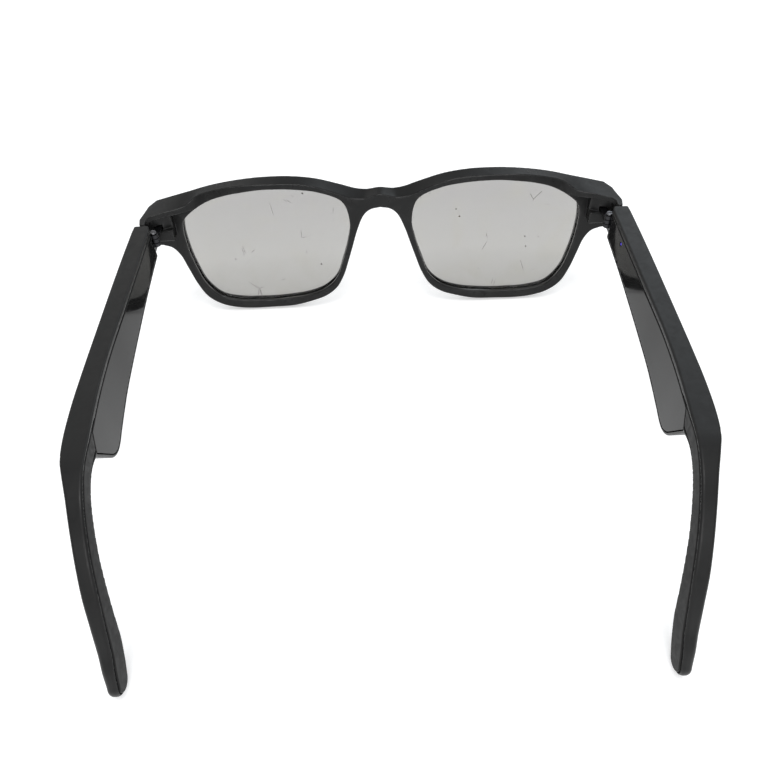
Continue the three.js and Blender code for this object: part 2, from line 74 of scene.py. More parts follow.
HINGE_X = 69.3
HINGE_Y = -10.3
BARREL_R = 1.35
PIVOT_R = 0.55
BARREL_TOP = -2.9
BARREL_BOTTOM = -7.1
KNUCKLE = 1.27

TEMPLE_FRONT = -10.0
CAVITY_FRONT = -12.2
SHELL_TOP = 1.4
SHELL_RIM = 0.65
COVER_THICK = 1.0
INLAY_THICK = 1.1
INLAY_EDGE = 0.8
LED = (-23.8, -3.8, 0.45)  # depth, height, radius
CONTACTS = (-43, -47.5)
CONTACT_X = 71.75
MIC_Y = -30
LEAF_SCREWS = (-16.0, -19.8)
LEAF_SCREW_Z = -5
PORT_MIDDLE = (71.5, -75.5)  # of the speaker's port, across and in depth
PORT_HALF = (0.9, 2.1)

# Where the design's origin lies in the frame: the temple shell's front end and its flat top.
shell_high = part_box("temple_shell_right")[1]
DATUM = np.array((0.0, shell_high.y - TEMPLE_FRONT * MM, shell_high.z))


# ---------------------------------------------------------------- lines
def smooth(points, per_span=8, closed=False):
    """Points along the centripetal Catmull-Rom curve through points."""
    p = np.array(points, float)
    if closed:
        ring = np.vstack([p[-1:], p, p[:2]])
    else:
        ring = np.vstack([2 * p[0] - p[1], p, 2 * p[-1] - p[-2]])
    spans = []
    for a, b, c, d in zip(ring, ring[1:], ring[2:], ring[3:]):
        t1 = math.sqrt(np.linalg.norm(b - a))
        t2 = t1 + math.sqrt(np.linalg.norm(c - b))
        t3 = t2 + math.sqrt(np.linalg.norm(d - c))
        t = np.linspace(t1, t2, per_span, endpoint=False)[:, None]
        ab = ((t1 - t) * a + t * b) / t1
        bc = ((t2 - t) * b + (t - t1) * c) / (t2 - t1)
        cd = ((t3 - t) * c + (t - t2) * d) / (t3 - t2)
        first = ((t2 - t) * ab + t * bc) / t2
        second = ((t3 - t) * bc + (t - t1) * cd) / (t3 - t1)
        spans.append(((t2 - t) * first + (t - t1) * second) / (t2 - t1))
    line = np.vstack(spans)
    return line if closed else np.vstack([line, p[-1:]])


def filleted(corners):
    """Closed outline through corners (a, b, radius), each turned by an arc of its radius."""
    line = []
    for i, (a, b, radius) in enumerate(corners):
        here = np.array((a, b))
        back = np.array(corners[i - 1][:2]) - here
        ahead = np.array(corners[(i + 1) % len(corners)][:2]) - here
        back /= np.linalg.norm(back)
        ahead /= np.linalg.norm(ahead)
        if radius == 0:
            line.append(here)
            continue
        half = math.acos(np.clip(back @ ahead, -1, 1)) / 2
        centre = here + (back + ahead) / np.linalg.norm(back + ahead) * radius / math.sin(half)
        start = here + back * radius / math.tan(half) - centre
        end = here + ahead * radius / math.tan(half) - centre
        first = math.atan2(start[1], start[0])
        turn = (math.atan2(end[1], end[0]) - first + math.pi) % (2 * math.pi) - math.pi
        for angle in np.linspace(first, first + turn, max(3, int(abs(turn) * radius / 0.12))):
            line.append(centre + radius * np.array((math.cos(angle), math.sin(angle))))
    return np.array(line)


# ---------------------------------------------------------------- fields
class DistanceMap:
    """Signed distance to a closed outline, worked out on a fine grid and read between its points."""

    STEP = 0.1

    def __init__(self, outline, margin=2.0):
        self.low = outline.min(0) - margin
        a, b = [np.arange(lo, hi, self.STEP) for lo, hi in zip(self.low, outline.max(0) + margin)]
        a, b = a[:, None], b[None, :]
        nearest = np.full((a.size, b.size), 1e9)
        inside = np.zeros(nearest.shape, bool)
        for (a0, b0), (a1, b1) in zip(outline, np.roll(outline, -1, axis=0)):
            ea, eb = a1 - a0, b1 - b0
            length = ea * ea + eb * eb
            if length < 1e-12:
                continue
            along = np.clip(((a - a0) * ea + (b - b0) * eb) / length, 0, 1)
            nearest = np.minimum(nearest, (a - a0 - along * ea) ** 2 + (b - b0 - along * eb) ** 2)
            if b0 != b1:
                across = (b0 > b) != (b1 > b)
                inside ^= across & (a < a0 + (b - b0) * ea / eb)
        self.values = np.where(inside, -1, 1) * np.sqrt(nearest)

    def __call__(self, a, b):
        rows, columns = self.values.shape
        u = np.clip((a - self.low[0]) / self.STEP, 0, rows - 1.001)
        v = np.clip((b - self.low[1]) / self.STEP, 0, columns - 1.001)
        i, j = u.astype(int), v.astype(int)
        u, v = u - i, v - j
        near = self.values[i, j] * (1 - v) + self.values[i, j + 1] * v
        far = self.values[i + 1, j] * (1 - v) + self.values[i + 1, j + 1] * v
        return near * (1 - u) + far * u


def both(a, b, radius):
    """Where two fields overlap, its edge rounded."""
    corner = np.hypot(np.maximum(a + radius, 0), np.maximum(b + radius, 0))
    return np.minimum(np.maximum(a, b), -radius) + corner


def either(a, b, radius):
    """Two fields joined, with a fillet where they meet."""
    return -both(-a, -b, radius)


def slab(a, low, high):
    """Between two levels."""
    return np.abs(a - (low + high) / 2) - (high - low) / 2


def brick(x, y, z, low, high, radius):
    """Box with rounded edges."""
    outside = []
    for a, lo, hi in zip((x, y, z), low, high):
        outside.append(slab(a, lo, hi) + radius)
    squares = sum(np.maximum(a, 0) ** 2 for a in outside)
    inside = np.minimum(np.maximum(np.maximum(outside[0], outside[1]), outside[2]), 0)
    return np.sqrt(squares) + inside - radius


def rod(a, b, along, centre, radius, low, high, edge):
    """Cylinder about an axis through centre, with rounded rims."""
    return both(np.hypot(a - centre[0], b - centre[1]) - radius, slab(along, low, high), edge)


# ---------------------------------------------------------------- meshes from fields
def nets(field, low, high, step):
    """Points and four-sided faces on the surface where the field is 0."""
    axes = [np.arange(lo, hi + step, step) for lo, hi in zip(low, high)]
    shape = np.array([len(a) for a in axes])
    x, y, z = axes[0][:, None, None], axes[1][None, :, None], axes[2][None, None, :]
    values = np.ascontiguousarray(np.broadcast_to(field(x, y, z), shape), dtype=np.float32)
    inside = values < 0
    corners = [(i, j, k) for i in (0, 1) for j in (0, 1) for k in (0, 1)]
    filled = np.zeros(shape - 1, np.int8)
    for corner in corners:
        filled += inside[tuple(slice(c, c + n - 1) for c, n in zip(corner, shape))]
    cells = np.argwhere((filled > 0) & (filled < 8))
    total = np.zeros((len(cells), 3))
    hits = np.zeros((len(cells), 1))
    for axis in range(3):
        for corner in corners:
            if corner[axis]:
                continue
            ahead = np.array(corner)
            ahead[axis] = 1
            here = values[tuple((cells + corner).T)]
            there = values[tuple((cells + ahead).T)]
            crossing = (here < 0) != (there < 0)
            point = np.tile(np.array(corner, float), (len(cells), 1))
            point[:, axis] = here / np.where(crossing, here - there, 1)
            total += point * crossing[:, None]
            hits += crossing[:, None]
    points = np.array(low) + step * (cells + total / hits)
    number = np.full(shape - 1, -1, np.int32)
    number[tuple(cells.T)] = np.arange(len(cells))
    faces = []
    for axis in range(3):
        b, c = (axis + 1) % 3, (axis + 2) % 3
        first = np.take(inside, range(shape[axis] - 1), axis)
        second = np.take(inside, range(1, shape[axis]), axis)
        edges = np.argwhere(first != second)
        kept = (edges[:, b] > 0) & (edges[:, b] < shape[b] - 1)
        kept &= (edges[:, c] > 0) & (edges[:, c] < shape[c] - 1)
        edges = edges[kept]
        ring = []
        for step_b, step_c in ((-1, -1), (0, -1), (0, 0), (-1, 0)):
            cell = edges.copy()
            cell[:, b] += step_b
            cell[:, c] += step_c
            ring.append(number[tuple(cell.T)])
        ring = np.stack(ring, 1)
        outward = first[tuple(edges.T)]
        faces.append(np.where(outward[:, None], ring, ring[:, ::-1]))
    return points, np.vstack(faces)


def slope_of(field, points, reach):
    """The field's slope at points, by central differences."""
    slope = np.empty_like(points)
    for axis in range(3):
        step = np.zeros(3)
        step[axis] = reach
        slope[:, axis] = field(*(points + step).T) - field(*(points - step).T)
    return slope / (2 * reach)


def settled(field, points, rounds=3):
    """Points moved along the slope until they lie on the surface."""
    for _ in range(rounds):
        slope = slope_of(field, points, 0.03)
        away = field(*points.T) / np.maximum((slope ** 2).sum(1), 0.3)
        points = points - np.clip(away, -0.1, 0.1)[:, None] * slope
    return points


def mesh_of(name, points, faces):
    """Blender mesh from arrays of points and of faces with equal side counts."""
    mesh = bpy.data.meshes.new(name)
    mesh.vertices.add(len(points))
    mesh.vertices.foreach_set("co", points.astype(np.float32).ravel())
    mesh.loops.add(faces.size)
    mesh.loops.foreach_set("vertex_index", faces.astype(np.int32).ravel())
    mesh.polygons.add(len(faces))
    mesh.polygons.foreach_set("loop_start", np.arange(len(faces), dtype=np.int32) * faces.shape[1])
    mesh.update(calc_edges=True)
    mesh.validate()
    return mesh


def thinned(points, faces, share):
    """The surface with fewer faces, fewest where it is flat, as points and triangles."""
    mesh = mesh_of("raw", points, faces)
    holder = bpy.data.objects.new("raw", mesh)
    bpy.context.scene.collection.objects.link(holder)
    modifier = holder.modifiers.new("thin", "DECIMATE")
    modifier.ratio = share
    bpy.context.view_layer.update()
    result = bpy.data.meshes.new_from_object(holder.evaluated_get(bpy.context.evaluated_depsgraph_get()))
    result.calc_loop_triangles()
    kept = np.empty(len(result.vertices) * 3, np.float32)
    result.vertices.foreach_get("co", kept)
    triangles = np.empty(len(result.loop_triangles) * 3, np.int32)
    result.loop_triangles.foreach_get("vertices", triangles)
    bpy.data.objects.remove(holder)
    bpy.data.meshes.remove(mesh)
    bpy.data.meshes.remove(result)
    return kept.reshape(-1, 3).astype(float), triangles.reshape(-1, 3)


class Skin:
    """A field's surface: points, faces, normals, and how sharply it bends outwards at each point."""

    def __init__(self, field, low, high, step=GRID, share=0.35, axes=None):
        points, faces = nets(field, low, high, step)
        points = settled(field, points)
        if share < 1:
            points, faces = thinned(points, faces, share)
            points = settled(field, points, 1)
        slope = slope_of(field, points, 0.08)
        normals = slope / np.maximum(np.linalg.norm(slope, axis=1), 1e-9)[:, None]
        around = sum(field(*(points + d).T) + field(*(points - d).T) for d in np.eye(3) * 0.3)
        self.edge = np.clip((around - 6 * field(*points.T)) / 0.3, 0, 1)
        axes = np.eye(3) if axes is None else axes
        self.own = points
        self.points = points @ axes
        self.normals = normals @ axes
        self.faces = faces

    def middles(self):
        """The middle of each face, in the field's own coordinates."""
        return self.own[self.faces].mean(1)

    def piece(self, name, side, material, body, slot, *nodes):
        """The piece made from this surface, or its mirror image for the left side."""
        flip = np.array((-1 if side == "left" else 1, 1, 1))
        faces = self.faces[:, ::-1] if side == "left" else self.faces
        mesh = mesh_of(name, self.points * flip * MM + DATUM, faces)
        mesh.shade_smooth()
        mesh.normals_split_custom_set_from_vertices(self.normals * flip)
        edge = mesh.attributes.new("edge", "FLOAT", "POINT")
        edge.data.foreach_set("value", self.edge.astype(np.float32))
        return placed(mesh, name, material, body, slot, *nodes)


def placed(data, name, material, body, slot, *nodes):
    """An object for the data, with its material and body, and the CAD nodes that it stands for hidden. The
    slot argument is not used.
    """
    made = bpy.data.objects.new(name, data)
    bpy.context.scene.collection.objects.link(made)
    made.data.materials.append(material)
    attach(made, body)
    if nodes:
        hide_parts(*nodes)
    return made


# ---------------------------------------------------------------- materials
def node(tree, kind, inputs=None, **settings):
    """A shader node with its settings and inputs, where an input may be another node's socket."""
    made = tree.nodes.new(kind)
    for key, value in settings.items():
        setattr(made, key, value)
    for key, value in (inputs or {}).items():
        if isinstance(value, bpy.types.NodeSocket):
            tree.links.new(value, made.inputs[key])
        else:
            made.inputs[key].default_value = value
    return made


def noise(tree, size, detail=3.0, stretch=(1, 1, 1), distortion=0.0):
    """Noise whose features are about size millimetres across, from 0 to 1."""
    where = node(tree, "ShaderNodeTexCoord").outputs["Object"]
    scaled = node(tree, "ShaderNodeMapping", {"Vector": where, "Scale": stretch})
    inputs = {"Vector": scaled.outputs[0], "Scale": 1 / (size * MM), "Detail": detail}
    inputs["Distortion"] = distortion
    return node(tree, "ShaderNodeTexNoise", inputs).outputs["Fac"]


def spread(tree, value, low, high, from_low=0.3, from_high=0.7):
    """A value's range carried over to another range, and kept inside it."""
    inputs = {"Value": value, "From Min": from_low, "From Max": from_high, "To Min": low, "To Max": high}
    return node(tree, "ShaderNodeMapRange", inputs).outputs["Result"]


def math_node(tree, operation, a, b):
    """Two values worked together."""
    return node(tree, "ShaderNodeMath", {0: a, 1: b}, operation=operation).outputs[0]


def mixed(tree, share, a, b):
    """Colour a turned into colour b by share."""
    made = node(tree, "ShaderNodeMix", data_type="RGBA")
    for socket, value in ((made.inputs[0], share), (made.inputs[6], a), (made.inputs[7], b)):
        if isinstance(value, bpy.types.NodeSocket):
            tree.links.new(value, socket)
        else:
            socket.default_value = value
    return made.outputs[2]


def bumped(tree, height, depth, strength=1.0):
    """Normal for a height pattern that is depth millimetres deep."""
    inputs = {"Height": height, "Distance": depth * MM, "Strength": strength}
    return node(tree, "ShaderNodeBump", inputs).outputs["Normal"]


def grey(value, warmth=0.0):
    """A grey of that brightness, or a slightly warm one."""
    return (value * (1 + warmth), value, value * (1 - warmth), 1.0)


def principled(name, **constants):
    """A new material with its Principled shader, whose constant sockets are set."""
    made = bpy.data.materials.new(name)
    made.use_nodes = True
    shader = made.node_tree.nodes["Principled BSDF"]
    for key, value in constants.items():
        shader.inputs[key.replace("_", " ")].default_value = value
    return made, made.node_tree, shader


def moulded(name, dark, light, rough, edge_wear_and_sheen, grain=0.002, edge_rough=0.8, **constants):
    """Black moulded plastic: fine grain, cloudy shade and handling marks, smoother edges, and paler edges
    whose paleness is partly wear and partly a painted highlight.
    """
    made, tree, shader = principled(name, **constants)
    clouds = noise(tree, 14, 5)
    marks = noise(tree, 2.2, 6, distortion=1.4)
    edge = node(tree, "ShaderNodeAttribute", attribute_name="edge").outputs["Fac"]
    # Edges turn paler in patches: partly wear, and where the edge grey is high, a painted highlight along
    # the rounded edges.
    patchy_wear_and_sheen = math_node(tree, "MULTIPLY", edge, spread(tree, noise(tree, 3.1, 4), 0.2, 1.0))
    shade = mixed(tree, spread(tree, clouds, 0, 1), grey(dark), grey(light))
    shade = mixed(tree, spread(tree, patchy_wear_and_sheen, 0, 0.5, 0.1, 1), shade, grey(edge_wear_and_sheen))
    tree.links.new(shade, shader.inputs["Base Color"])
    low, high = rough
    handled = math_node(tree, "MULTIPLY", spread(tree, marks, low, high, 0.25, 0.75),
                        spread(tree, edge, 1.0, edge_rough, 0, 1))
    tree.links.new(handled, shader.inputs["Roughness"])
    tree.links.new(bumped(tree, noise(tree, 0.16, 2), grain, 0.7), shader.inputs["Normal"])
    return made


def polished(name, dark, rough, haze, **constants):
    """Gloss black plastic with smudges and dust."""
    made, tree, shader = principled(name, **constants)
    smudge = spread(tree, noise(tree, 6, 6, distortion=2.0), rough, haze, 0.45, 0.8)
    where = node(tree, "ShaderNodeTexCoord").outputs["Object"]
    cells = node(tree, "ShaderNodeTexVoronoi", {"Vector": where, "Scale": 420.0})
    speck = spread(tree, cells.outputs["Distance"], 1, 0, 0.02, 0.06)
    here = spread(tree, noise(tree, 9, 3), 0, 1, 0.5, 0.62)
    dust = math_node(tree, "MULTIPLY", speck, here)
    shade = mixed(tree, dust, grey(dark), grey(0.12, 0.15))
    tree.links.new(shade, shader.inputs["Base Color"])
    tree.links.new(math_node(tree, "MAXIMUM", smudge, math_node(tree, "MULTIPLY", dust, 0.6)),
                   shader.inputs["Roughness"])
    tree.links.new(bumped(tree, noise(tree, 11, 2), 0.012, 0.35), shader.inputs["Normal"])
    return made


def lens_glass():
    """Grey-tinted lens, darker towards the top as painted shade that evens out the floor's shadow seen
    through its lower part, with smudges, specks of dirt and hairline scratches.
    """
    made = bpy.data.materials.new("tinted_lens")
    made.use_nodes = True
    tree = made.node_tree
    tree.nodes.remove(tree.nodes["Principled BSDF"])
    smear = spread(tree, noise(tree, 13, 5, distortion=1.2), 0, 0.5, 0.5, 0.75)
    clear = (0.69, 0.685, 0.672, 1)
    where = node(tree, "ShaderNodeTexCoord").outputs["Object"]
    # Painted shade: the tint darkens upwards so that the shadowed floor seen through the lower part looks
    # as bright as the top.
    height = node(tree, "ShaderNodeSeparateXYZ", {0: where}).outputs["Z"]
    clear = mixed(tree, spread(tree, height, 0, 1, 8 * MM, 42 * MM), clear, (0.632, 0.626, 0.621, 1))
    tint = mixed(tree, smear, clear, (0.652, 0.642, 0.605, 1))
    through = node(tree, "ShaderNodeBsdfTransparent", {"Color": tint})
    shine = node(tree, "ShaderNodeBsdfAnisotropic", {"Color": (1, 1, 1, 1), "Roughness": 0.03})
    facing = node(tree, "ShaderNodeLayerWeight", {"Blend": 0.5}).outputs["Facing"]  # alike on both sides
    glance = spread(tree, math_node(tree, "POWER", facing, 5.0), 0.03, 1, 0, 1)
    pane = node(tree, "ShaderNodeMixShader", {0: glance, 1: through.outputs[0], 2: shine.outputs[0]})
    cells = node(tree, "ShaderNodeTexVoronoi", {"Vector": where, "Scale": 190.0, "Randomness": 1.0})
    speck = spread(tree, cells.outputs["Distance"], 1, 0, 0.04, 0.07)
    dirty = spread(tree, noise(tree, 7, 2), 0, 1, 0.57, 0.61)
    specks = math_node(tree, "MULTIPLY", speck, dirty)
    lines = node(tree, "ShaderNodeTexVoronoi", {"Vector": where, "Scale": 85.0}, feature="DISTANCE_TO_EDGE")
    hair = spread(tree, lines.outputs["Distance"], 0.5, 0, 0.004, 0.008)
    hairs = math_node(tree, "MULTIPLY", hair, spread(tree, noise(tree, 8, 2), 0, 1, 0.62, 0.66))
    share = math_node(tree, "MAXIMUM", specks, hairs)
    dirt = node(tree, "ShaderNodeBsdfDiffuse", {"Color": (0.07, 0.055, 0.035, 1)})
    whole = node(tree, "ShaderNodeMixShader", {0: share, 1: pane.outputs[0], 2: dirt.outputs[0]})
    tree.links.new(whole.outputs[0], tree.nodes["Material Output"].inputs["Surface"])
    return made


def brushed(name, color, rough, metallic=1.0, stretch=(1, 0.08, 1)):
    """Metal, film or board with a fine direction to its grain."""
    made, tree, shader = principled(name, Metallic=metallic)
    grain = noise(tree, 0.25, 4, stretch)
    darker = tuple(c * 0.72 for c in color[:3]) + (1.0,)
    tree.links.new(mixed(tree, spread(tree, grain, 0, 1), darker, color), shader.inputs["Base Color"])
    tree.links.new(spread(tree, grain, rough * 0.75, rough * 1.25), shader.inputs["Roughness"])
    tree.links.new(bumped(tree, grain, 0.003, 0.5), shader.inputs["Normal"])
    return made


def lit_dot():
    """The status light's diffuser, glowing blue."""
    made, tree, shader = principled("status_light", Roughness=0.35, Emission_Strength=0.55)
    core = spread(tree, noise(tree, 0.3, 2), 0, 1)
    shade = mixed(tree, core, (0.05, 0.03, 0.5, 1), (0.08, 0.05, 0.8, 1))
    tree.links.new(shade, shader.inputs["Base Color"])
    glow = mixed(tree, core, (0.10, 0.06, 0.75, 1), (0.16, 0.10, 1.0, 1))
    tree.links.new(glow, shader.inputs["Emission Color"])
    return made


SATIN = moulded("satin_black", 0.0075, 0.0105, (0.34, 0.5), 0.022, Specular_IOR_Level=0.3)
# The front's edge grey, 0.06, is mostly a painted highlight on its rounded edges, such as the brow's rear
# top edge.
FRONT_BLACK = moulded("front_black", 0.0075, 0.0105, (0.3, 0.44), 0.06, 0.002, 0.3,
                      Specular_IOR_Level=0.22)
RUBBER = moulded("hook_black", 0.012, 0.018, (0.42, 0.6), 0.024, 0.003, Specular_IOR_Level=0.12)
GLOSS = polished("gloss_black", 0.01, 0.05, 0.14, IOR=1.2)
OPENING_WALL = polished("polished_wall", 0.006, 0.08, 0.2, IOR=2.6)
LENS = lens_glass()
STEEL = brushed("hinge_steel", (0.2, 0.2, 0.21, 1), 0.3)
DARK_STEEL = brushed("hinge_dark_steel", (0.05, 0.05, 0.054, 1), 0.4)
BY_SLOT = {
    "hinge_steel": STEEL,
    "gold_plate": brushed("gold_plate", (0.8, 0.58, 0.24, 1), 0.25),
    "circuit_board": brushed("circuit_board", (0.02, 0.11, 0.045, 1), 0.4, 0.0, (1, 1, 1)),
    "foil": brushed("foil", (0.66, 0.67, 0.68, 1), 0.4),
    "flex_film": brushed("flex_film", (0.5, 0.24, 0.06, 1), 0.35, 0.0),
    "dark_plastic": brushed("dark_plastic", (0.03, 0.03, 0.033, 1), 0.5, 0.0, (1, 1, 1)),
    "mesh_grey": brushed("mesh_grey", (0.3, 0.31, 0.33, 1), 0.4),
    "led_diffuser": lit_dot(),
    "lens_tint": LENS,
    "satin_black": SATIN,
    "gloss_black": GLOSS,
    "hook_black": RUBBER,
}
for part in frame["record"]["subparts"]:
    mesh = frame["nodes"][part["node"]].data
    mesh.materials.clear()
    mesh.materials.append(BY_SLOT[part["material_slot"]])

# ---------------------------------------------------------------- front
SIN, COS = math.sin(TILT), math.cos(TILT)
FRONT_AXES = np.array(((1, 0, 0), (0, COS, -SIN), (0, SIN, COS)))  # across, forward, up in its plane


def plane_point(x, w, n):
    """Design coordinates of a point across, up in the front's plane and forward of its rear face."""
    return x, w * SIN + n * COS, w * COS - n * SIN


LENS_OPENING = smooth([
    (11.8, -1.5), (19, 2.0), (25.9, 3.2), (31.7, 3.6), (37, 3.6), (42.1, 3.1), (47.6, 2.3),
    (53.6, 0.6), (59.4, -2.8), (62.3, -5.6), (63.1, -9.1), (62.8, -16), (61.6, -22.6),
    (59.5, -29.1), (55.3, -34.1), (48.6, -36.0), (42.4, -36.3), (37, -36.3), (31.7, -35.9),
    (26, -35.1), (20, -32.9), (15.6, -28.7), (13.1, -22.4), (11.1, -16), (9.9, -8.7),
], 10, True)
UNDER_RIM = smooth([
    (70.5, -13.7), (67.8, -14.8), (65.8, -17.6), (64.3, -22.6), (62.5, -28.6), (60.0, -33.8),
    (55.9, -37.1), (51, -38.7), (45.5, -39.3), (38, -39.2), (31, -38.9), (25, -37.5),
    (19.6, -35.5), (15.8, -32.4), (13.1, -27.6), (11.2, -22.2), (9.4, -16.6), (7.6, -11),
    (5.4, -6.2), (3.2, -4.3), (0, -3.6),
], 8)
ABOVE = 10.0  # higher than the brow, whose top is cut by crown()
RIGHT_HALF = np.vstack([[(0, ABOVE), (75, ABOVE), (75, -0.8), (74, -12.6), (73.0, -13.4)], UNDER_RIM])
FRONT_MAP = DistanceMap(np.vstack([RIGHT_HALF, RIGHT_HALF[-2:0:-1] * (-1, 1)]))
LENS_MAP = DistanceMap(LENS_OPENING)

# Edges of the brow's top, from the bridge to the end piece: along the front, then along the rear.
BROW_FRONT = smooth([plane_point(x, w, DEPTH) for x, w in (
    (-4, 0.95), (0, 1.4), (4, 0.95), (7.5, 1.4), (12, 2.85), (20, 5.15), (28, 6.2), (36, 6.3), (44, 5.7),
    (52, 4.5), (60, 2.6), (68, 0.6), (75, -1.3))], 10)
BROW_REAR = smooth([plane_point(x, w, 0) for x, w in (
    (-3.2, 0), (0, 0.7), (3.2, 0), (5.3, -0.6), (8.9, -0.2), (13.9, 1.8), (19.4, 3.8), (24.3, 4.9),
    (30.4, 5.3), (37.5, 5.4), (43.6, 5.3), (49.9, 4.5), (55.2, 3.3), (57.4, 2.2))] + [
    (59.3, -0.8, 1.0), (60.9, -1.8, 0.3), (63.2, -2.7, 0.12), (66.2, -3.7, 0.08), (70.4, -5.8, 0),
    (72.8, -7.1, 0), (75, -8.2, 0)], 10)
ROOF_UNDER = -1.7
END_REAR = -9.7
WALL_FOOT = -12.3
TAIL = filleted([
    (56, 3, 0), (56, 0.9, 0), (57.6, 0.2, 0), (59.3, -0.8, 0), (60.9, -1.8, 2), (63.2, -2.7, 2),
    (66.2, -3.7, 6), (70.4, -5.8, 2), (71.6, -7.6, 0.9), (71.6, END_REAR, 0.3), (72.8, END_REAR, 0.5),
    (73.4, -6.6, 2), (72.4, 1.2, 0.6), (70.3, 4.2, 0)])
WALL = filleted([
    (71.4, 1.9, 0), (71.4, END_REAR, 0.3), (72.8, END_REAR, 0.5), (73.4, -6.6, 2), (72.4, 1.2, 0.5),
    (71.9, 1.8, 0)])
TAIL_MAP = DistanceMap(TAIL)
WALL_MAP = DistanceMap(WALL)
FILL_MAP = DistanceMap(filleted([
    (65.2, 1, 0), (65.2, -2.8, 0), (66.3, -3.2, 0), (70.5, -5.2, 0.5), (71.0, -5.6, 0.5), (71.8, -5.6, 0),
    (71.8, 1, 0)]))
BLOCK = ((65.2, -5, -9.8), (71.8, 1, -5.9))
FRAME_KNUCKLE = (BARREL_BOTTOM + KNUCKLE + GAP, BARREL_TOP - KNUCKLE - GAP)
LEAF_SLOT = ((68.1, -6, FRAME_KNUCKLE[0] - GAP), (70.5, 1.1, FRAME_KNUCKLE[1] + GAP))


def crown(x, y):
    """Height of the brow's top face, which falls from its front edge to its rear edge."""
    front_y, front_z = (np.interp(x, BROW_FRONT[:, 0], BROW_FRONT[:, k]) for k in (1, 2))
    rear_y, rear_z = (np.interp(x, BROW_REAR[:, 0], BROW_REAR[:, k]) for k in (1, 2))
    share = np.clip((y - rear_y) / (front_y - rear_y), 0, 1.2)
    return rear_z + (front_z - rear_z) * share


def front_field(x, n, w):
    """The whole front: plate, end pieces with their hinge blocks, openings and lens grooves."""
    x = np.abs(x)
    _, y, z = plane_point(x, w, n)
    depth = DEPTH + (DEPTH_LOW - DEPTH) * np.clip((TAPER_TOP - w) / TAPER_RUN, 0, 1)
    plate = both(FRONT_MAP(x, w) - 0.12, slab(n, 0, depth), RIM_EDGE)
    corner = 0.82 * (x - 70.6) + 0.572 * (y - 4.2)  # the end piece's slanted corner and its side
    side = 0.992 * (x - 72.4) + 0.127 * (y - 1.2)
    plate = both(plate, both(corner, side, 0.6), 0.4)
    tail = both(TAIL_MAP(x, y), ROOF_UNDER - z, 0.25)
    wall = both(WALL_MAP(x, y), WALL_FOOT - z, 0.5)
    solid = either(either(plate, tail, 0.3), wall, 0.3)
    solid = both(solid, (z - crown(x, y)) * 0.93, 0.32)
    filling = both(FILL_MAP(x, y), slab(z, BLOCK[1][2] - 0.3, ROOF_UNDER + 0.3), 0.1)
    solid = np.minimum(solid, filling)
    solid = either(solid, brick(x, y, z, *BLOCK, 0.35), 0.25)
    opening = LENS_MAP(x, w)
    solid = both(solid, -opening, OPENING_EDGE)
    groove = both(opening - LENS_LIP - GAP, slab(n, LENS_SEAT - GAP, LENS_SEAT + LENS_THICK + GAP), 0.1)
    solid = both(solid, -groove, 0.1)
    return both(solid, -brick(x, y, z, *LEAF_SLOT, 0.1), 0.1)


def lens_field(x, n, w):
    """A domed lens whose rim lies in the groove."""
    across = (x - LENS_MIDDLE[0]) / LENS_HALF[0]
    up = (w - LENS_MIDDLE[1]) / LENS_HALF[1]
    bulge = LENS_DOME * (1 - np.sqrt(across ** 4 + up ** 4))
    glass = slab(n - bulge, LENS_SEAT, LENS_SEAT + LENS_THICK)
    return both(LENS_MAP(x, w) - LENS_LIP, glass, 0.15)


def make_front():
    """The front moulding, with polished walls in its openings, and the lenses."""
    low, high = (-74.3, -12.2, -40.2), (74.3, 5.0, 7.6)
    skin = Skin(front_field, low, high, axes=FRONT_AXES)
    made = skin.piece("front_moulding", "right", FRONT_BLACK, "front", "satin_black", "front_frame")
    made.data.materials.append(OPENING_WALL)
    across, ahead, up = skin.middles().T
    wall = (np.abs(LENS_MAP(np.abs(across), up)) < 0.3) & (slab(ahead, 0.4, DEPTH) < 0)
    made.data.polygons.foreach_set("material_index", wall.astype(np.int32))
    skin = Skin(lens_field, (8, 0.6, -38), (65, 5.6, 5.2), 0.45, 0.5, FRONT_AXES)
    for side in ("right", "left"):
        skin.piece(f"lens_pane_{side}", side, LENS, "front", "lens_tint", f"lens_{side}")


# ---------------------------------------------------------------- hinge
def knuckles(levels):
    """Field of hinge knuckles between pairs of levels."""
    def field(x, y, z):
        solid = 1e3
        for low, high in levels:
            solid = np.minimum(solid, rod(x, y, z, (HINGE_X, HINGE_Y), BARREL_R, low, high, 0.12))
        return solid
    return field


def bored(solid, x, y):
    """A field with the screw's bore taken out."""
    return both(solid, 0.7 - np.hypot(x - HINGE_X, y - HINGE_Y), 0.06)


def frame_leaf_field(x, y, z):
    """The leaf fixed in the end piece, with the middle knuckle."""
    low, high = FRAME_KNUCKLE
    arm = brick(x, y, z, (68.3, HINGE_Y, low), (70.3, 0.9, high), 0.15)
    return bored(np.minimum(arm, knuckles([FRAME_KNUCKLE])(x, y, z)), x, y)


ARM_MAP = DistanceMap(filleted([
    (HINGE_X, HINGE_Y - 1.2, 0), (HINGE_X + 1.1, HINGE_Y + 0.2, 0), (71.9, -12.4, 0.4),
    (71.9, -15.4, 0), (71.1, -15.4, 0), (70.9, -12.1, 0.3)]))


def temple_leaf_field(x, y, z):
    """The leaf screwed to the temple, with the outer knuckles."""
    levels = [(BARREL_BOTTOM, BARREL_BOTTOM + KNUCKLE), (BARREL_TOP - KNUCKLE, BARREL_TOP)]
    arms = 1e3
    for low, high in levels:
        arms = np.minimum(arms, both(ARM_MAP(x, y), slab(z, low, high), 0.1))
    plate = brick(x, y, z, (71.1, -21.7, BARREL_BOTTOM), (71.9, -13.0, BARREL_TOP), 0.15)
    solid = np.minimum(np.minimum(arms, plate), knuckles(levels)(x, y, z))
    for screw in LEAF_SCREWS:
        solid = both(solid, 0.75 - np.hypot(y - screw, z - LEAF_SCREW_Z), 0.05)
    return bored(solid, x, y)


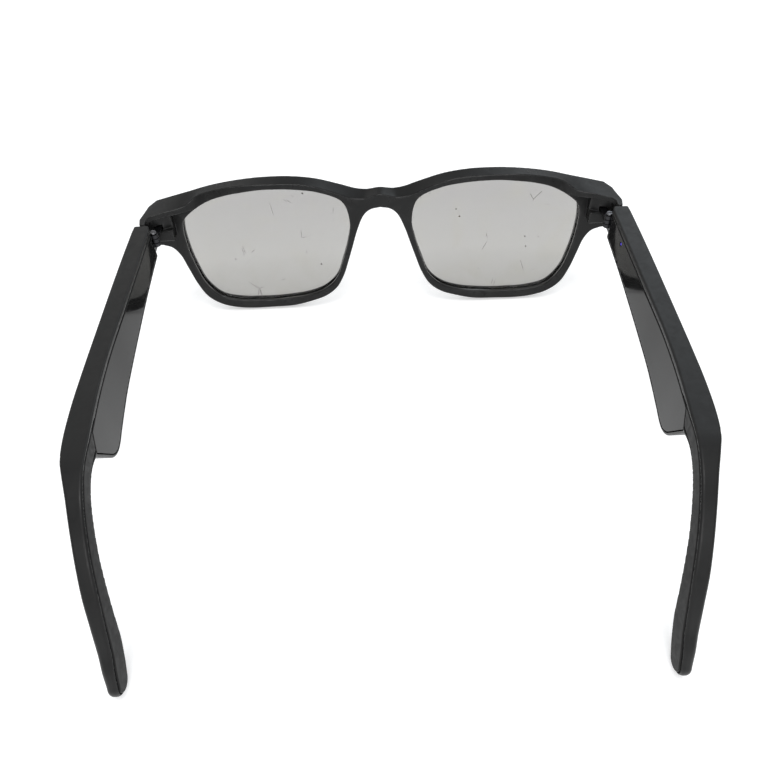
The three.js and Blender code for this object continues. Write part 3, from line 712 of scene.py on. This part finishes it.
def hinge_screw_field(x, y, z):
    """The pivot screw, with its slotted head."""
    under = BARREL_TOP + 0.1
    centre = (HINGE_X, HINGE_Y)
    shank = rod(x, y, z, centre, PIVOT_R, BARREL_BOTTOM - 0.1, under + 0.2, 0.08)
    head = rod(x, y, z, centre, 1.0, under, under + 0.6, 0.2)
    slot = brick(x, y, z, (HINGE_X - 2, HINGE_Y - 0.12, under + 0.35),
                 (HINGE_X + 2, HINGE_Y + 0.12, 0), 0.03)
    return both(np.minimum(shank, head), -slot, 0.03)


def make_hinges():
    """The hinges' leaves and pivot screws."""
    leaf = Skin(frame_leaf_field, (67.6, -12.0, -6), (71, 1.2, -4), 0.14)
    arm = Skin(temple_leaf_field, (67.6, -22.0, -7.4), (72.2, -8.6, -2.6), 0.14)
    screw = Skin(hinge_screw_field, (68, -11.6, -7.4), (70.6, -9.0, -1.9), 0.09)
    for side in ("right", "left"):
        leaf.piece(f"frame_leaf_{side}", side, DARK_STEEL, "front", "hinge_steel",
                   f"frame_hinge_leaf_{side}")
        arm.piece(f"temple_leaf_{side}", side, DARK_STEEL, f"temple_{side}", "hinge_steel",
                  f"temple_hinge_leaf_{side}")
        screw.piece(f"pivot_screw_{side}", side, STEEL, "front", "hinge_steel", f"hinge_screw_{side}")


# ---------------------------------------------------------------- temple
BELLY = smooth([
    (-77, -18.5), (-70, -17.4), (-60, -15.65), (-50, -14.15), (-40, -12.8), (-30, -11.6),
    (-20, -10.7), (-13.8, -10.25)], 6)


def with_belly(front, rear, raise_by=0.0):
    """Closed side outline from corners before and after the temple's curved lower edge."""
    curve = [(y, z + raise_by, 0) for y, z in BELLY]
    return filleted(rear + curve + front)


SIDE_MAP = DistanceMap(with_belly(
    [(TEMPLE_FRONT, -9.9, 2.3), (TEMPLE_FRONT, 0, 0.5)],
    [(-95.5, 0, 0), (-95.5, -4.6, 0), (-91.9, -5.6, 4.5), (-82.4, -19.2, 8)]))
CAVITY_MAP = DistanceMap(with_belly(
    [(CAVITY_FRONT, -8.95, 2.1), (CAVITY_FRONT, -SHELL_TOP, 0.4)],
    [(-87.8, -SHELL_TOP, 0.6), (-90.9, -5.8, 1.0), (-82.0, -18.5, 7.2)], SHELL_RIM))
INNER_LINE = smooth([
    (66.3, -100), (66.8, -97), (67.3, -92), (68.1, -84), (68.85, -75), (69.35, -64), (69.4, -52),
    (69.4, -40), (69.4, -9)], 6)
OUTER_LINE = smooth([
    (74.5, -13), (74.65, -25), (74.65, -40), (74.55, -55), (74.4, -70), (74.2, -79), (73.85, -85.5),
    (73.4, -90.5), (72.8, -94.5), (72.0, -98), (70.8, -101)], 6)
PLAN_MAP = DistanceMap(filleted(
    [(x, y, 0) for x, y in INNER_LINE if y < CAVITY_FRONT]
    + [(69.4, CAVITY_FRONT, 1.5), (70.0, TEMPLE_FRONT, 0.3), (74.3, TEMPLE_FRONT, 0.7)]
    + [(x, y, 0) for x, y in OUTER_LINE]))
ROOM_MAP = DistanceMap(filleted([
    (60, CAVITY_FRONT, 0), (73.3, CAVITY_FRONT, 0.3), (73.3, -78, 8),
    (72.0, -91, 1), (60, -91, 0)]))
HOOK_START = -94  # depth where the hook leaves the temple's straight inner face
HOOK = smooth([  # along it: depth, height, inner face, outer face, how tall it is
    (-86, -2.75, 68.2, 73.7, 5.5), (-90, -2.75, 67.6, 73.3, 5.5), (-94, -2.75, 67.1, 72.8, 5.5),
    (-97, -2.8, 66.75, 72.2, 5.5), (-100, -3.15, 66.3, 71.1, 5.4), (-105, -4.65, 65.4, 69.4, 5.3),
    (-110, -7.6, 64.5, 68.2, 5.25), (-115, -11.9, 63.6, 67.25, 5.3), (-119.5, -17, 62.7, 66.45, 5.5),
    (-123.5, -22.8, 62.0, 65.6, 5.9), (-127, -28.8, 61.5, 64.95, 6.6), (-129.5, -32.4, 61.3, 64.6, 6.9),
    (-131.8, -35.7, 61.2, 64.2, 6.4)], 8)
INLAY = np.vstack([  # along the inlay in the hook's inner face: depth, height, how tall it is
    [(-85, -3.45, 4.2), (-90, -3.15, 4.0)],
    HOOK[HOOK[:, 0] < HOOK_START][:, (0, 1, 4)] - (0, 0.1, 2 * INLAY_EDGE)])


def inner_face(y):
    """Across, where the temple's inner face lies at a depth."""
    return np.interp(y, INNER_LINE[:, 1], INNER_LINE[:, 0])


def along_line(line, y, z):
    """Distance from a line of (depth, height, ...) rows, and the rest of the nearest place's row."""
    y, z = np.broadcast_arrays(y, z)
    nearest = np.full(y.shape, 1e9)
    found = np.zeros((line.shape[1] - 2,) + y.shape)
    for a, b in zip(line, line[1:]):
        ey, ez = b[0] - a[0], b[1] - a[1]
        along = np.clip(((y - a[0]) * ey + (z - a[1]) * ez) / (ey * ey + ez * ez), 0, 1)
        squared = (y - a[0] - along * ey) ** 2 + (z - a[1] - along * ez) ** 2
        closer = squared < nearest
        nearest = np.where(closer, squared, nearest)
        for k in range(len(found)):
            found[k] = np.where(closer, a[2 + k] + (b[2 + k] - a[2 + k]) * along, found[k])
    return np.sqrt(nearest), *found


def hook_field(x, y, z):
    """The whole ear hook."""
    away, inner, outer, height = along_line(HOOK, y, z)
    across = slab(x, inner, outer)
    radius = np.interp(y, (-133, -122, -105, -96), (1.3, 0.75, 0.75, 0.5))
    return both(away - height / 2, across, radius)


def inlay_outline(y, z):
    """Distance from the edge of the inlay, seen from the side."""
    away, height = along_line(INLAY, y, z)
    return away - height / 2


def into_face(x, y, z):
    """How deep a point is behind the inner face of the temple or, further back, of the hook."""
    _, inner, _, _ = along_line(HOOK, y, z)
    return x - np.where(y > HOOK_START, inner_face(y), inner)


def shell_field(x, y, z):
    """The temple's shell and ear hook, hollow behind the cover, with its ports and hinge relief."""
    body = both(SIDE_MAP(y, z), PLAN_MAP(x, y), 0.5)
    blend = np.interp(z, (-5.4, -4.2), (0.9, 0.01))  # level faces above, a fillet below
    solid = either(body, hook_field(x, y, z), blend)
    room = both(CAVITY_MAP(y, z), ROOM_MAP(x, y), 0.3)
    solid = both(solid, -room, 0.22)
    recess = both(inlay_outline(y, z) - GAP, into_face(x, y, z) - INLAY_THICK - GAP, 0.1)
    solid = both(solid, -recess, 0.25)
    relief = np.minimum(
        rod(x, y, z, (HINGE_X, HINGE_Y), BARREL_R + 0.45, -12, BARREL_TOP + 1.1, 0.1),
        brick(x, y, z, (69, HINGE_Y - 2.3, BARREL_BOTTOM - GAP), (72.2, HINGE_Y + 0.4, BARREL_TOP + GAP),
              0.1))
    solid = both(solid, -relief, 0.12)
    for contact in CONTACTS:
        solid = both(solid, -rod(x, y, z, (CONTACT_X, contact), 1.05, -16, -10.5, 0.01), 0.1)
    solid = both(solid, -rod(x, y, z, (CONTACT_X, MIC_Y), 0.5, -16, -9, 0.01), 0.1)
    port = brick(x, y, z, (PORT_MIDDLE[0] - PORT_HALF[0], PORT_MIDDLE[1] - PORT_HALF[1], -20),
                 (PORT_MIDDLE[0] + PORT_HALF[0], PORT_MIDDLE[1] + PORT_HALF[1], -15.5), 0.5)
    return both(solid, -port, 0.15)


def cover_field(x, y, z):
    """The gloss plate that closes the shell's inner side."""
    depth = x - inner_face(y)
    return both(both(CAVITY_MAP(y, z) + GAP, -depth, 0.3), depth - COVER_THICK, 0.1)


def lit_cover_field(x, y, z):
    """The same plate with the status light's hole."""
    hole = LED[2] + GAP - np.hypot(y - LED[0], z - LED[1])
    return both(cover_field(x, y, z), hole, 0.08)


def led_field(x, y, z):
    """The status light's diffuser."""
    return rod(y, z, x, LED[:2], LED[2], 69.5, 71.6, 0.25)


def inlay_field(x, y, z):
    """The inlay in the ear hook's inner face."""
    depth = into_face(x, y, z)
    plate = both(inlay_outline(y, z), np.maximum(-depth, depth - INLAY_THICK), 0.3)
    return both(plate, -CAVITY_MAP(y, z), 0.15)


def contact_field(x, y, z):
    """A contact's pin and its collar, at depth 0 and with its foot at height 0."""
    pin = rod(x, y, z, (CONTACT_X, 0), 0.85, 0, 2.6, 0.2)
    return np.minimum(pin, rod(x, y, z, (CONTACT_X, 0), 1.15, 1.5, 2.0, 0.08))


def screen_field(x, y, z):
    """Perforated plate in the speaker port."""
    plate = brick(x, y, z, (70.8, -77.4, -17.0), (72.2, -73.6, -16.5), 0.08)
    pitch = 0.32
    row_pitch = pitch * 0.866
    middle_x, middle_y = PORT_MIDDLE
    row = np.round((x - middle_x) / row_pitch)
    off = (row % 2) * pitch / 2
    hole_y = np.round((y - middle_y - off) / pitch) * pitch + middle_y + off
    hole = np.hypot(x - middle_x - row * row_pitch, y - hole_y) - 0.1
    inside = slab(x, 71.0, 72.0) < 0
    hole = np.where(inside & (slab(hole_y, -77.2, -73.8) < 0), hole, 1.0)
    return both(plate, -hole, 0.03)


def make_temples():
    """What folds with each temple."""
    shell = Skin(shell_field, (60.5, -135.9, -40.4), (75.2, -9.5, 0.4))
    cover = Skin(cover_field, (66.6, -93, -18.6), (70.8, -11.8, -0.9))
    lit_cover = Skin(lit_cover_field, (66.6, -93, -18.6), (70.8, -11.8, -0.9))
    inlay = Skin(inlay_field, (60.5, -135.4, -39.9), (69.6, -87.5, 0.4), GRID * 0.7)
    led = Skin(led_field, (69.2, -24.7, -4.7), (71.8, -22.9, -2.9), 0.09)
    pin = Skin(contact_field, (70.3, -1.5, -0.3), (73.2, 1.5, 2.9), 0.12)
    screen = Skin(screen_field, (70.6, -77.6, -17.2), (72.4, -73.4, -16.3), 0.05)
    for side in ("right", "left"):
        body = f"temple_{side}"
        shell.piece(f"temple_moulding_{side}", side, SATIN, body, "satin_black", f"temple_shell_{side}")
        plate = lit_cover if side == "right" else cover
        plate.piece(f"inner_cover_{side}", side, GLOSS, body, "gloss_black", f"temple_inner_cover_{side}")
        inlay.piece(f"hook_inlay_{side}", side, RUBBER, body, "hook_black", f"ear_hook_inlay_{side}")
        screen.piece(f"speaker_screen_{side}", side, BY_SLOT["mesh_grey"], body, "mesh_grey",
                     f"speaker_mesh_{side}")
        for place in ("front", "rear"):
            node_name = f"charging_contact_{place}_{side}"
            low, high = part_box(node_name)
            made = pin.piece(f"contact_pin_{place}_{side}", side, BY_SLOT["gold_plate"], body,
                             "gold_plate", node_name)
            move = Vector((0, (low.y + high.y) / 2 - DATUM[1], low.z - DATUM[2]))
            made.data.transform(Matrix.Translation(move))
    led.piece("status_diffuser_right", "right", BY_SLOT["led_diffuser"], "temple_right", "led_diffuser",
              "status_led_right")


# ---------------------------------------------------------------- stage
def make_stage():
    """Pale floor, a pale world and soft lights."""
    bpy.ops.mesh.primitive_plane_add(size=6, location=(0, 0, -0.0002))
    floor = bpy.context.object
    floor.name = "floor"
    paper, _, _ = principled("pale_floor", Base_Color=grey(0.9), Roughness=0.9, Specular_IOR_Level=0.1,
                             Emission_Color=grey(1.0), Emission_Strength=0.4)
    floor.data.materials.append(paper)
    scene = bpy.context.scene
    scene.view_settings.view_transform = "Standard"
    world = bpy.data.worlds.new("studio")
    world.use_nodes = True
    world.node_tree.nodes["Background"].inputs[0].default_value = (0.97, 0.985, 1.0, 1)
    world.node_tree.nodes["Background"].inputs[1].default_value = 0.45
    scene.world = world
    lamps = (("overhead", (0, -0.2, 1.2), (0.6, 0.5), 5.0, (1, 1, 1)),
             ("window_right", (0.6, 1.0, 0.9), (0.8, 0.8), 2.8, (0.88, 0.95, 1)),
             ("window_left", (-0.6, 1.0, 0.9), (0.8, 0.8), 1.1, (1, 0.99, 0.95)),
             ("rear_strip", (0, -1.0, 0.75), (1.0, 0.22), 4.0, (1, 1, 1)))
    for name, place, size, watts, color in lamps:
        light = bpy.data.lights.new(name, "AREA")
        light.shape = "RECTANGLE"
        light.size, light.size_y = size
        light.energy = watts
        light.color = color
        lamp = bpy.data.objects.new(name, light)
        lamp.location = place
        lamp.rotation_euler = (-Vector(place)).to_track_quat("-Z", "Y").to_euler()
        scene.collection.objects.link(lamp)


CAMERA_AT = (0.36, -188.24, 122.57)  # in the design's axes
CAMERA_DOWN = math.radians(48.06)
CAMERA_ROLL = math.radians(2.74)
CAMERA_TURN = math.radians(0.556)
CAMERA_LENS = 32.8


def make_camera():
    """The camera, from its place, how far it looks down, and its roll and turn."""
    data = bpy.data.cameras.new("camera")
    data.lens = CAMERA_LENS
    data.sensor_width = 36
    data.clip_start = 0.005
    camera = bpy.data.objects.new("camera", data)
    forward = Vector((0, math.cos(CAMERA_DOWN), -math.sin(CAMERA_DOWN)))
    down = Vector((0, -math.sin(CAMERA_DOWN), -math.cos(CAMERA_DOWN)))
    across = Vector((1, 0, 0))
    right = math.cos(CAMERA_ROLL) * across + math.sin(CAMERA_ROLL) * down
    up = math.sin(CAMERA_ROLL) * across - math.cos(CAMERA_ROLL) * down
    turned = Matrix.Rotation(CAMERA_TURN, 4, "Z") @ Matrix((right, up, -forward)).transposed().to_4x4()
    camera.matrix_world = Matrix.Translation(Vector(np.array(CAMERA_AT) * MM + DATUM)) @ turned
    bpy.context.scene.collection.objects.link(camera)
    bpy.context.scene.camera = camera


make_camera()
make_stage()
make_front()
make_hinges()
make_temples()
